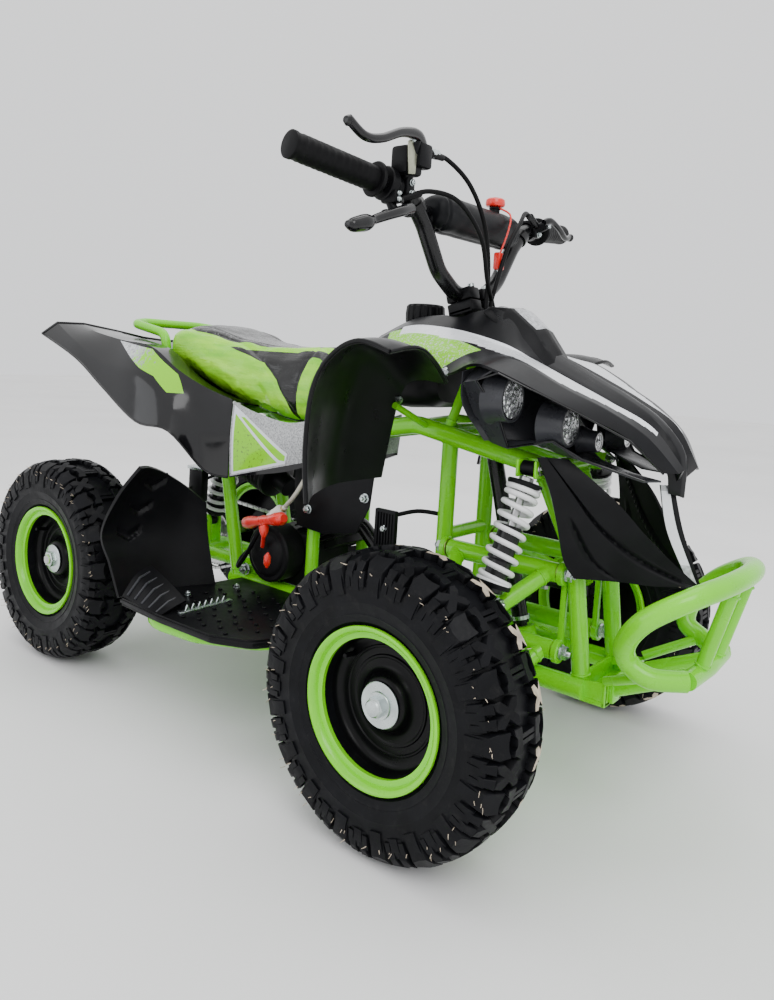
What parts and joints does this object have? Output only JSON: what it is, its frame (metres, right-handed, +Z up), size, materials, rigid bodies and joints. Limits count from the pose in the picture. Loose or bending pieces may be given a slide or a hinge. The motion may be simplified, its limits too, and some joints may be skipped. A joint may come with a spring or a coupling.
{
  "type": "quad bike",
  "caption": "Child-size quad bike: steel tube frame, double front arms with coil shocks, knobbly tyres, live rear axle, moulded covers, padded seat and raised handlebar",
  "frame": {"origin": "middle of the box round the quad bike, on the floor", "axes": "+Z up, front of the machine toward -Y, its left side toward +X"},
  "size_m": [0.6608, 1.1871, 0.802],
  "materials": {
    "frame_paint": "bright lime green gloss paint",
    "spring_white": "white powder-coated coils with a black damper",
    "engine_metal": "dark cast metal with cooling fins",
    "black_metal": "black painted steel",
    "satin_plastic": "satin black moulded plastic",
    "gloss_plastic": "glossy black moulded plastic with green and grey panels",
    "lamp_glass": "grey lamp barrels with clear lenses",
    "seat_cover": "shiny artificial leather, black with lime side panels",
    "rubber": "black moulded rubber and foam",
    "red_plastic": "red moulded plastic",
    "clear_plastic": "translucent white plastic and rubber hose",
    "tyre": "black knobbly tyre rubber",
    "rim_paint": "black dish with a lime flange ring",
    "bare_steel": "zinc plated and bare steel"
  },
  "bodies": {
    "chassis": {"frame": "frame_paint", "seat_rails": "frame_paint", "footrest_bars": "frame_paint", "front_bumper": "frame_paint", "upper_arms": "frame_paint", "lower_arms": "frame_paint", "front_shocks": "spring_white", "swingarm": "frame_paint", "rear_shock": "spring_white", "engine": "engine_metal", "exhaust": "black_metal", "air_filter": "satin_plastic", "fuel_tank": "satin_plastic", "pull_handle": "red_plastic", "fuel_filter": "clear_plastic", "footwell_right": "satin_plastic", "footwell_left": "satin_plastic", "front_fairing": "satin_plastic", "nose_guard": "satin_plastic", "headlamps": "lamp_glass", "front_fender_right": "satin_plastic", "front_fender_left": "satin_plastic", "side_cover_right": "gloss_plastic", "side_cover_left": "gloss_plastic", "seat": "seat_cover", "rear_fender": "gloss_plastic", "grab_bar": "frame_paint", "drive_chain": "bare_steel", "brake_caliper": "bare_steel", "regulator_box": "satin_plastic"},
    "steering": {"steering_stem": "black_metal", "handlebar": "black_metal", "bar_pad": "rubber", "hand_grips": "rubber", "brake_levers": "black_metal", "thumb_throttle": "satin_plastic", "kill_switch": "red_plastic", "control_cables": "rubber"},
    "right_knuckle": {"knuckle_right": "black_metal"},
    "left_knuckle": {"knuckle_left": "black_metal"},
    "right_tie_rod": {"tie_rod_right": "bare_steel"},
    "left_tie_rod": {"tie_rod_left": "bare_steel"},
    "front_right_wheel": {"front_tyre_right": "tyre", "front_rim_right": "rim_paint"},
    "front_left_wheel": {"front_tyre_left": "tyre", "front_rim_left": "rim_paint"},
    "rear_wheels": {"rear_tyres": "tyre", "rear_rims": "rim_paint", "rear_axle": "bare_steel"}
  },
  "joints": [
    {"name": "steer", "type": "hinge", "parent": "chassis", "child": "steering", "pos_m": [0, -0.3065, 0.176], "axis": [0, 0.2605, 0.9655], "range_deg": [-25, 25]},
    {"name": "left_kingpin", "type": "hinge", "parent": "chassis", "child": "left_knuckle", "pos_m": [0.19, -0.3005, 0.164], "axis": [0, 0, 1], "range_deg": [-25, 25]},
    {"name": "right_kingpin", "type": "hinge", "parent": "chassis", "child": "right_knuckle", "pos_m": [-0.19, -0.3005, 0.164], "axis": [0, 0, 1], "range_deg": [-25, 25]},
    {"name": "left_rod_end", "type": "hinge", "parent": "left_knuckle", "child": "left_tie_rod", "pos_m": [0.176, -0.2465, 0.2], "axis": [0, 0, 1], "range_deg": [-30.15, 30.15]},
    {"name": "right_rod_end", "type": "hinge", "parent": "right_knuckle", "child": "right_tie_rod", "pos_m": [-0.176, -0.2465, 0.2], "axis": [0, 0, 1], "range_deg": [-30.15, 30.15]},
    {"name": "front_left_spin", "type": "hinge", "parent": "left_knuckle", "child": "front_left_wheel", "pos_m": [0.27, -0.3005, 0.164], "axis": [1, 0, 0], "continuous": true},
    {"name": "front_right_spin", "type": "hinge", "parent": "right_knuckle", "child": "front_right_wheel", "pos_m": [-0.27, -0.3005, 0.164], "axis": [1, 0, 0], "continuous": true},
    {"name": "rear_spin", "type": "hinge", "parent": "chassis", "child": "rear_wheels", "pos_m": [0, 0.4295, 0.164], "axis": [1, 0, 0], "continuous": true}
  ],
  "couplings": [
    {"joint": "left_kingpin", "follows": "steer", "ratio": 1},
    {"joint": "right_kingpin", "follows": "steer", "ratio": 1},
    {"joint": "left_rod_end", "follows": "steer", "ratio": -1.206},
    {"joint": "right_rod_end", "follows": "steer", "ratio": -1.206}
  ]
}
